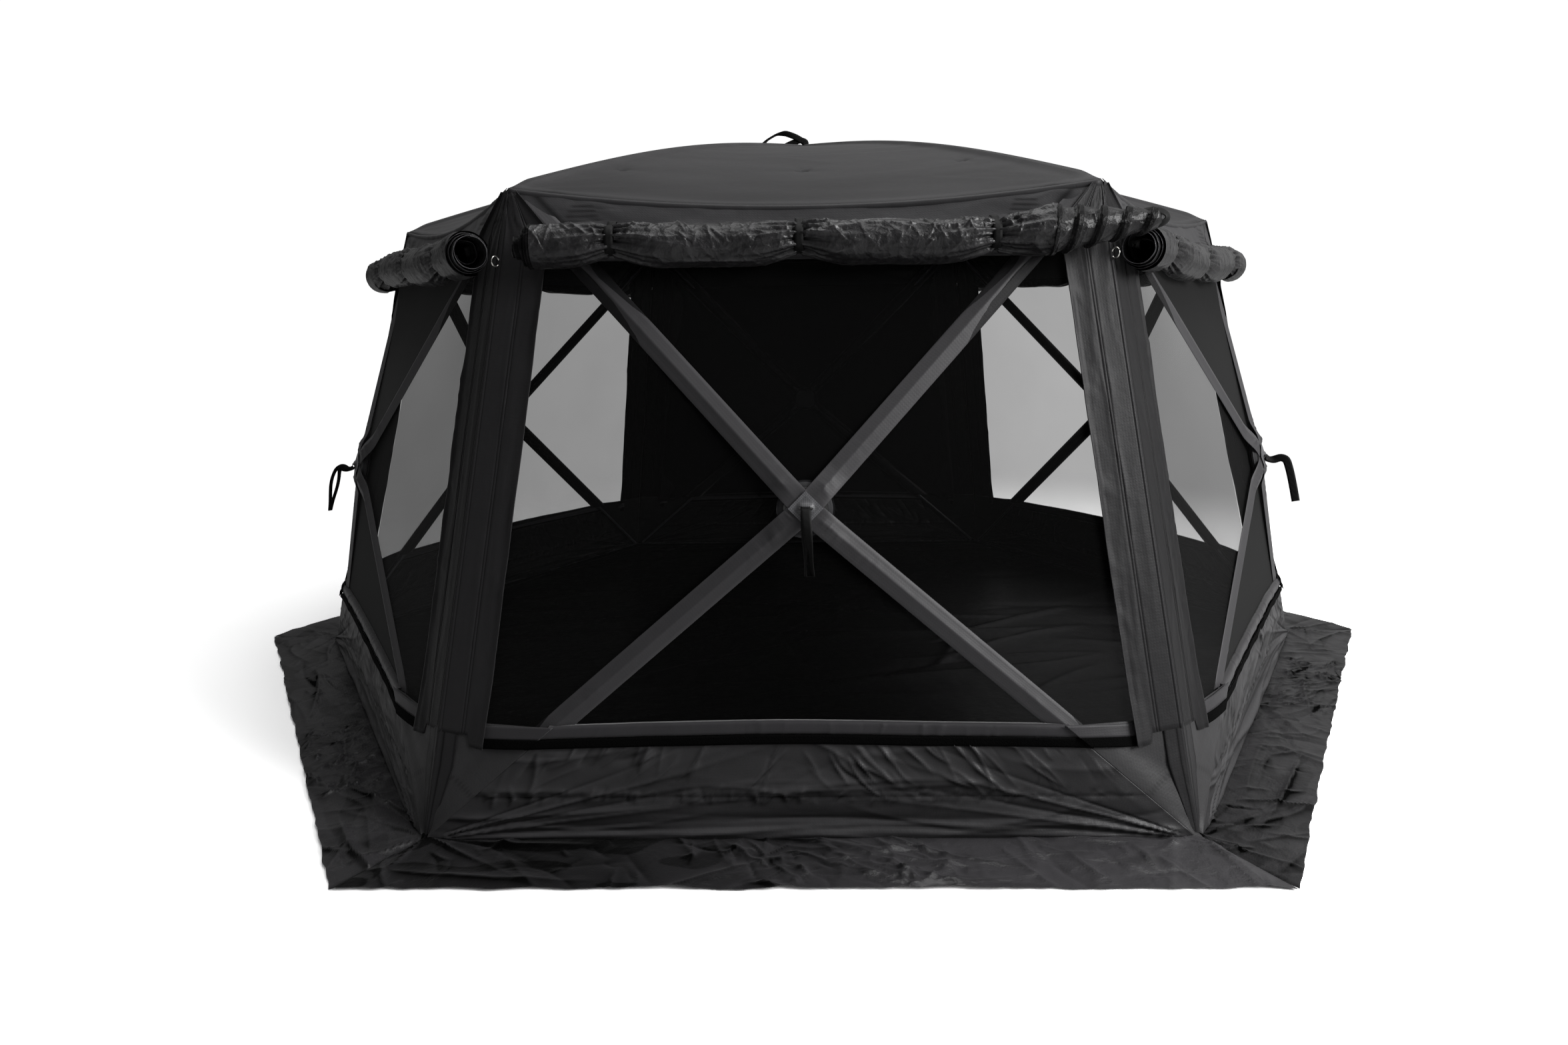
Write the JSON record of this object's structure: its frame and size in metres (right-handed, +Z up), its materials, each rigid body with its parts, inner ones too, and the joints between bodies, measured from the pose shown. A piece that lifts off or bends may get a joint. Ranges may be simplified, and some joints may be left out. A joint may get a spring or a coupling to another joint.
{
  "type": "pop up ground blind shelter",
  "caption": "Pop-up shelter with a hub in each wall and in the roof, folding poles, see-through mesh walls, rolled wind panels and a wide ground skirt.",
  "frame": {"origin": "centre of the floor sheet's underside, on the ground", "axes": "+Z up through the roof hub; -Y towards the front wall; the hung wind panel is on the +Y side"},
  "size_m": [4.352, 3.769, 1.9348],
  "materials": {
    "shell_cloth": "satin woven",
    "roof_cloth": "satin woven",
    "floor_cloth": "coated woven",
    "panel_cloth": "shiny coated woven",
    "sleeve_cloth": "satin woven",
    "hem_tape": "matt woven",
    "screen_mesh": "fine open mesh",
    "patch_cloth": "reflective woven",
    "webbing": "ribbed webbing",
    "ring_steel": "brushed",
    "hub_plastic": "moulded",
    "pole_rod": "pultruded rod"
  },
  "bodies": {
    "base": {"floor_sheet": "floor_cloth", "ground_skirt": "floor_cloth", "kick_panels": "shell_cloth", "sill_strips": "hem_tape", "wall_screens": "screen_mesh", "corner_strips": "shell_cloth", "top_bands": "shell_cloth", "pole_sleeves": "sleeve_cloth", "roof_canopy": "roof_cloth", "back_wind_panel": "panel_cloth", "rolled_wind_panels": "panel_cloth", "roll_ties": "webbing", "tie_rings": "ring_steel", "hub_pockets": "sleeve_cloth", "hub_patches": "patch_cloth"},
    "roof_hub": {"roof_hub": "hub_plastic", "roof_pull_loop": "webbing"},
    "roof_pole_0": {"roof_pole_0": "pole_rod"},
    "roof_pole_1": {"roof_pole_1": "pole_rod"},
    "roof_pole_2": {"roof_pole_2": "pole_rod"},
    "roof_pole_3": {"roof_pole_3": "pole_rod"},
    "roof_pole_4": {"roof_pole_4": "pole_rod"},
    "roof_pole_5": {"roof_pole_5": "pole_rod"},
    "wall_hub_0": {"wall_hub_0": "hub_plastic"},
    "upper_pole_0_a": {"upper_pole_0_a": "pole_rod"},
    "upper_pole_0_b": {"upper_pole_0_b": "pole_rod"},
    "lower_pole_0_a": {"lower_pole_0_a": "pole_rod"},
    "lower_pole_0_b": {"lower_pole_0_b": "pole_rod"},
    "pull_strap_0": {"pull_strap_0": "webbing"},
    "wall_hub_1": {"wall_hub_1": "hub_plastic"},
    "upper_pole_1_a": {"upper_pole_1_a": "pole_rod"},
    "upper_pole_1_b": {"upper_pole_1_b": "pole_rod"},
    "lower_pole_1_a": {"lower_pole_1_a": "pole_rod"},
    "lower_pole_1_b": {"lower_pole_1_b": "pole_rod"},
    "pull_strap_1": {"pull_strap_1": "webbing"},
    "wall_hub_2": {"wall_hub_2": "hub_plastic"},
    "upper_pole_2_a": {"upper_pole_2_a": "pole_rod"},
    "upper_pole_2_b": {"upper_pole_2_b": "pole_rod"},
    "lower_pole_2_a": {"lower_pole_2_a": "pole_rod"},
    "lower_pole_2_b": {"lower_pole_2_b": "pole_rod"},
    "pull_strap_2": {"pull_strap_2": "webbing"},
    "wall_hub_3": {"wall_hub_3": "hub_plastic"},
    "upper_pole_3_a": {"upper_pole_3_a": "pole_rod"},
    "upper_pole_3_b": {"upper_pole_3_b": "pole_rod"},
    "lower_pole_3_a": {"lower_pole_3_a": "pole_rod"},
    "lower_pole_3_b": {"lower_pole_3_b": "pole_rod"},
    "pull_strap_3": {"pull_strap_3": "webbing"},
    "wall_hub_4": {"wall_hub_4": "hub_plastic"},
    "upper_pole_4_a": {"upper_pole_4_a": "pole_rod"},
    "upper_pole_4_b": {"upper_pole_4_b": "pole_rod"},
    "lower_pole_4_a": {"lower_pole_4_a": "pole_rod"},
    "lower_pole_4_b": {"lower_pole_4_b": "pole_rod"},
    "pull_strap_4": {"pull_strap_4": "webbing"},
    "wall_hub_5": {"wall_hub_5": "hub_plastic"},
    "upper_pole_5_a": {"upper_pole_5_a": "pole_rod"},
    "upper_pole_5_b": {"upper_pole_5_b": "pole_rod"},
    "lower_pole_5_a": {"lower_pole_5_a": "pole_rod"},
    "lower_pole_5_b": {"lower_pole_5_b": "pole_rod"},
    "pull_strap_5": {"pull_strap_5": "webbing"}
  },
  "joints": [
    {"name": "frame_fold", "type": "slide", "parent": "base", "child": "roof_hub", "axis": [0, 0, -1], "range_m": [0, 1.742], "deforming": ["ground_skirt", "kick_panels", "sill_strips", "wall_screens", "corner_strips", "top_bands", "pole_sleeves", "roof_canopy", "back_wind_panel", "rolled_wind_panels", "roll_ties", "tie_rings", "hub_pockets", "hub_patches"]},
    {"name": "roof_pole_0_fold", "type": "hinge", "parent": "roof_hub", "child": "roof_pole_0", "pos_m": [0.06, 0, 1.842], "axis": [0, -1, 0], "range_deg": [0, 100.96]},
    {"name": "roof_pole_1_fold", "type": "hinge", "parent": "roof_hub", "child": "roof_pole_1", "pos_m": [0.03, 0.05196, 1.842], "axis": [0.866, -0.5, 0], "range_deg": [0, 100.96]},
    {"name": "roof_pole_2_fold", "type": "hinge", "parent": "roof_hub", "child": "roof_pole_2", "pos_m": [-0.03, 0.05196, 1.842], "axis": [0.866, 0.5, 0], "range_deg": [0, 100.96]},
    {"name": "roof_pole_3_fold", "type": "hinge", "parent": "roof_hub", "child": "roof_pole_3", "pos_m": [-0.06, 0, 1.842], "axis": [0, 1, 0], "range_deg": [0, 100.96]},
    {"name": "roof_pole_4_fold", "type": "hinge", "parent": "roof_hub", "child": "roof_pole_4", "pos_m": [-0.03, -0.05196, 1.842], "axis": [-0.866, 0.5, 0], "range_deg": [0, 100.96]},
    {"name": "roof_pole_5_fold", "type": "hinge", "parent": "roof_hub", "child": "roof_pole_5", "pos_m": [0.03, -0.05196, 1.842], "axis": [-0.866, -0.5, 0], "range_deg": [0, 100.96]},
    {"name": "wall_hub_0_fold", "type": "hinge", "parent": "roof_hub", "child": "wall_hub_0", "pos_m": [-0.00691, -0.00399, 0.61007], "axis": [0.5, -0.866, 0], "range_deg": [0, 77.05]},
    {"name": "upper_pole_0_a_fold", "type": "hinge", "parent": "wall_hub_0", "child": "upper_pole_0_a", "pos_m": [1.40014, 0.77772, 0.84865], "axis": [-0.5028, 0.5734, 0.6468], "range_deg": [0, 98.71]},
    {"name": "upper_pole_0_b_fold", "type": "hinge", "parent": "wall_hub_0", "child": "upper_pole_0_b", "pos_m": [1.37359, 0.8237, 0.84865], "axis": [-0.2452, 0.7221, -0.6468], "range_deg": [0, 98.71]},
    {"name": "lower_pole_0_a_fold", "type": "hinge", "parent": "wall_hub_0", "child": "lower_pole_0_a", "pos_m": [1.41294, 0.78055, 0.79426], "axis": [0.1757, -0.6459, 0.743], "range_deg": [0, 97.38]},
    {"name": "lower_pole_0_b_fold", "type": "hinge", "parent": "wall_hub_0", "child": "lower_pole_0_b", "pos_m": [1.38245, 0.83337, 0.79426], "axis": [0.4715, -0.4751, -0.743], "range_deg": [0, 97.38]},
    {"name": "pull_strap_0_swing", "type": "hinge", "parent": "wall_hub_0", "child": "pull_strap_0", "pos_m": [1.41293, 0.81576, 0.82486], "axis": [0.5, -0.866, 0], "range_deg": [0, 90]},
    {"name": "wall_hub_1_fold", "type": "hinge", "parent": "roof_hub", "child": "wall_hub_1", "pos_m": [0, -0.00797, 0.61007], "axis": [1, 0, 0], "range_deg": [0, 77.05]},
    {"name": "upper_pole_1_a_fold", "type": "hinge", "parent": "wall_hub_1", "child": "upper_pole_1_a", "pos_m": [0.02655, 1.60142, 0.84865], "axis": [-0.748, -0.1487, 0.6468], "range_deg": [0, 98.71]},
    {"name": "upper_pole_1_b_fold", "type": "hinge", "parent": "wall_hub_1", "child": "upper_pole_1_b", "pos_m": [-0.02655, 1.60142, 0.84865], "axis": [-0.748, 0.1487, -0.6468], "range_deg": [0, 98.71]},
    {"name": "lower_pole_1_a_fold", "type": "hinge", "parent": "wall_hub_1", "child": "lower_pole_1_a", "pos_m": [0.03049, 1.61392, 0.79426], "axis": [0.6472, -0.1708, 0.743], "range_deg": [0, 97.38]},
    {"name": "lower_pole_1_b_fold", "type": "hinge", "parent": "wall_hub_1", "child": "lower_pole_1_b", "pos_m": [-0.03049, 1.61392, 0.79426], "axis": [0.6472, 0.1708, -0.743], "range_deg": [0, 97.38]},
    {"name": "pull_strap_1_swing", "type": "hinge", "parent": "wall_hub_1", "child": "pull_strap_1", "pos_m": [0, 1.63151, 0.82486], "axis": [1, 0, 0], "range_deg": [0, 90]},
    {"name": "wall_hub_2_fold", "type": "hinge", "parent": "roof_hub", "child": "wall_hub_2", "pos_m": [0.00691, -0.00399, 0.61007], "axis": [0.5, 0.866, 0], "range_deg": [0, 77.05]},
    {"name": "upper_pole_2_a_fold", "type": "hinge", "parent": "wall_hub_2", "child": "upper_pole_2_a", "pos_m": [-1.37359, 0.8237, 0.84865], "axis": [-0.2452, -0.7221, 0.6468], "range_deg": [0, 98.71]},
    {"name": "upper_pole_2_b_fold", "type": "hinge", "parent": "wall_hub_2", "child": "upper_pole_2_b", "pos_m": [-1.40014, 0.77772, 0.84865], "axis": [-0.5028, -0.5734, -0.6468], "range_deg": [0, 98.71]},
    {"name": "lower_pole_2_a_fold", "type": "hinge", "parent": "wall_hub_2", "child": "lower_pole_2_a", "pos_m": [-1.38245, 0.83337, 0.79426], "axis": [0.4715, 0.4751, 0.743], "range_deg": [0, 97.38]},
    {"name": "lower_pole_2_b_fold", "type": "hinge", "parent": "wall_hub_2", "child": "lower_pole_2_b", "pos_m": [-1.41294, 0.78055, 0.79426], "axis": [0.1757, 0.6459, -0.743], "range_deg": [0, 97.38]},
    {"name": "pull_strap_2_swing", "type": "hinge", "parent": "wall_hub_2", "child": "pull_strap_2", "pos_m": [-1.41293, 0.81576, 0.82486], "axis": [0.5, 0.866, 0], "range_deg": [0, 90]},
    {"name": "wall_hub_3_fold", "type": "hinge", "parent": "roof_hub", "child": "wall_hub_3", "pos_m": [0.00691, 0.00399, 0.61007], "axis": [-0.5, 0.866, 0], "range_deg": [0, 77.05]},
    {"name": "upper_pole_3_a_fold", "type": "hinge", "parent": "wall_hub_3", "child": "upper_pole_3_a", "pos_m": [-1.40014, -0.77772, 0.84865], "axis": [0.5028, -0.5734, 0.6468], "range_deg": [0, 98.71]},
    {"name": "upper_pole_3_b_fold", "type": "hinge", "parent": "wall_hub_3", "child": "upper_pole_3_b", "pos_m": [-1.37359, -0.8237, 0.84865], "axis": [0.2452, -0.7221, -0.6468], "range_deg": [0, 98.71]},
    {"name": "lower_pole_3_a_fold", "type": "hinge", "parent": "wall_hub_3", "child": "lower_pole_3_a", "pos_m": [-1.41294, -0.78055, 0.79426], "axis": [-0.1757, 0.6459, 0.743], "range_deg": [0, 97.38]},
    {"name": "lower_pole_3_b_fold", "type": "hinge", "parent": "wall_hub_3", "child": "lower_pole_3_b", "pos_m": [-1.38245, -0.83337, 0.79426], "axis": [-0.4715, 0.4751, -0.743], "range_deg": [0, 97.38]},
    {"name": "pull_strap_3_swing", "type": "hinge", "parent": "wall_hub_3", "child": "pull_strap_3", "pos_m": [-1.41293, -0.81576, 0.82486], "axis": [-0.5, 0.866, 0], "range_deg": [0, 90]},
    {"name": "wall_hub_4_fold", "type": "hinge", "parent": "roof_hub", "child": "wall_hub_4", "pos_m": [0, 0.00797, 0.61007], "axis": [-1, 0, 0], "range_deg": [0, 77.05]},
    {"name": "upper_pole_4_a_fold", "type": "hinge", "parent": "wall_hub_4", "child": "upper_pole_4_a", "pos_m": [-0.02655, -1.60142, 0.84865], "axis": [0.748, 0.1487, 0.6468], "range_deg": [0, 98.71]},
    {"name": "upper_pole_4_b_fold", "type": "hinge", "parent": "wall_hub_4", "child": "upper_pole_4_b", "pos_m": [0.02655, -1.60142, 0.84865], "axis": [0.748, -0.1487, -0.6468], "range_deg": [0, 98.71]},
    {"name": "lower_pole_4_a_fold", "type": "hinge", "parent": "wall_hub_4", "child": "lower_pole_4_a", "pos_m": [-0.03049, -1.61392, 0.79426], "axis": [-0.6472, 0.1708, 0.743], "range_deg": [0, 97.38]},
    {"name": "lower_pole_4_b_fold", "type": "hinge", "parent": "wall_hub_4", "child": "lower_pole_4_b", "pos_m": [0.03049, -1.61392, 0.79426], "axis": [-0.6472, -0.1708, -0.743], "range_deg": [0, 97.38]},
    {"name": "pull_strap_4_swing", "type": "hinge", "parent": "wall_hub_4", "child": "pull_strap_4", "pos_m": [0, -1.63151, 0.82486], "axis": [-1, 0, 0], "range_deg": [0, 90]},
    {"name": "wall_hub_5_fold", "type": "hinge", "parent": "roof_hub", "child": "wall_hub_5", "pos_m": [-0.00691, 0.00399, 0.61007], "axis": [-0.5, -0.866, 0], "range_deg": [0, 77.05]},
    {"name": "upper_pole_5_a_fold", "type": "hinge", "parent": "wall_hub_5", "child": "upper_pole_5_a", "pos_m": [1.37359, -0.8237, 0.84865], "axis": [0.2452, 0.7221, 0.6468], "range_deg": [0, 98.71]},
    {"name": "upper_pole_5_b_fold", "type": "hinge", "parent": "wall_hub_5", "child": "upper_pole_5_b", "pos_m": [1.40014, -0.77772, 0.84865], "axis": [0.5028, 0.5734, -0.6468], "range_deg": [0, 98.71]},
    {"name": "lower_pole_5_a_fold", "type": "hinge", "parent": "wall_hub_5", "child": "lower_pole_5_a", "pos_m": [1.38245, -0.83337, 0.79426], "axis": [-0.4715, -0.4751, 0.743], "range_deg": [0, 97.38]},
    {"name": "lower_pole_5_b_fold", "type": "hinge", "parent": "wall_hub_5", "child": "lower_pole_5_b", "pos_m": [1.41294, -0.78055, 0.79426], "axis": [-0.1757, -0.6459, -0.743], "range_deg": [0, 97.38]},
    {"name": "pull_strap_5_swing", "type": "hinge", "parent": "wall_hub_5", "child": "pull_strap_5", "pos_m": [1.41293, -0.81576, 0.82486], "axis": [-0.5, -0.866, 0], "range_deg": [0, 90]}
  ],
  "couplings": [
    {"joint": "roof_pole_0_fold", "follows": "frame_fold", "rad_per_m": 1.0116},
    {"joint": "roof_pole_1_fold", "follows": "frame_fold", "rad_per_m": 1.0116},
    {"joint": "roof_pole_2_fold", "follows": "frame_fold", "rad_per_m": 1.0116},
    {"joint": "roof_pole_3_fold", "follows": "frame_fold", "rad_per_m": 1.0116},
    {"joint": "roof_pole_4_fold", "follows": "frame_fold", "rad_per_m": 1.0116},
    {"joint": "roof_pole_5_fold", "follows": "frame_fold", "rad_per_m": 1.0116},
    {"joint": "wall_hub_0_fold", "follows": "frame_fold", "rad_per_m": 0.77201},
    {"joint": "upper_pole_0_a_fold", "follows": "frame_fold", "rad_per_m": 0.98894},
    {"joint": "upper_pole_0_b_fold", "follows": "frame_fold", "rad_per_m": 0.98894},
    {"joint": "lower_pole_0_a_fold", "follows": "frame_fold", "rad_per_m": 0.97569},
    {"joint": "lower_pole_0_b_fold", "follows": "frame_fold", "rad_per_m": 0.97569},
    {"joint": "wall_hub_1_fold", "follows": "frame_fold", "rad_per_m": 0.77201},
    {"joint": "upper_pole_1_a_fold", "follows": "frame_fold", "rad_per_m": 0.98894},
    {"joint": "upper_pole_1_b_fold", "follows": "frame_fold", "rad_per_m": 0.98894},
    {"joint": "lower_pole_1_a_fold", "follows": "frame_fold", "rad_per_m": 0.97569},
    {"joint": "lower_pole_1_b_fold", "follows": "frame_fold", "rad_per_m": 0.97569},
    {"joint": "wall_hub_2_fold", "follows": "frame_fold", "rad_per_m": 0.77201},
    {"joint": "upper_pole_2_a_fold", "follows": "frame_fold", "rad_per_m": 0.98894},
    {"joint": "upper_pole_2_b_fold", "follows": "frame_fold", "rad_per_m": 0.98894},
    {"joint": "lower_pole_2_a_fold", "follows": "frame_fold", "rad_per_m": 0.97569},
    {"joint": "lower_pole_2_b_fold", "follows": "frame_fold", "rad_per_m": 0.97569},
    {"joint": "wall_hub_3_fold", "follows": "frame_fold", "rad_per_m": 0.77201},
    {"joint": "upper_pole_3_a_fold", "follows": "frame_fold", "rad_per_m": 0.98894},
    {"joint": "upper_pole_3_b_fold", "follows": "frame_fold", "rad_per_m": 0.98894},
    {"joint": "lower_pole_3_a_fold", "follows": "frame_fold", "rad_per_m": 0.97569},
    {"joint": "lower_pole_3_b_fold", "follows": "frame_fold", "rad_per_m": 0.97569},
    {"joint": "wall_hub_4_fold", "follows": "frame_fold", "rad_per_m": 0.77201},
    {"joint": "upper_pole_4_a_fold", "follows": "frame_fold", "rad_per_m": 0.98894},
    {"joint": "upper_pole_4_b_fold", "follows": "frame_fold", "rad_per_m": 0.98894},
    {"joint": "lower_pole_4_a_fold", "follows": "frame_fold", "rad_per_m": 0.97569},
    {"joint": "lower_pole_4_b_fold", "follows": "frame_fold", "rad_per_m": 0.97569},
    {"joint": "wall_hub_5_fold", "follows": "frame_fold", "rad_per_m": 0.77201},
    {"joint": "upper_pole_5_a_fold", "follows": "frame_fold", "rad_per_m": 0.98894},
    {"joint": "upper_pole_5_b_fold", "follows": "frame_fold", "rad_per_m": 0.98894},
    {"joint": "lower_pole_5_a_fold", "follows": "frame_fold", "rad_per_m": 0.97569},
    {"joint": "lower_pole_5_b_fold", "follows": "frame_fold", "rad_per_m": 0.97569}
  ]
}
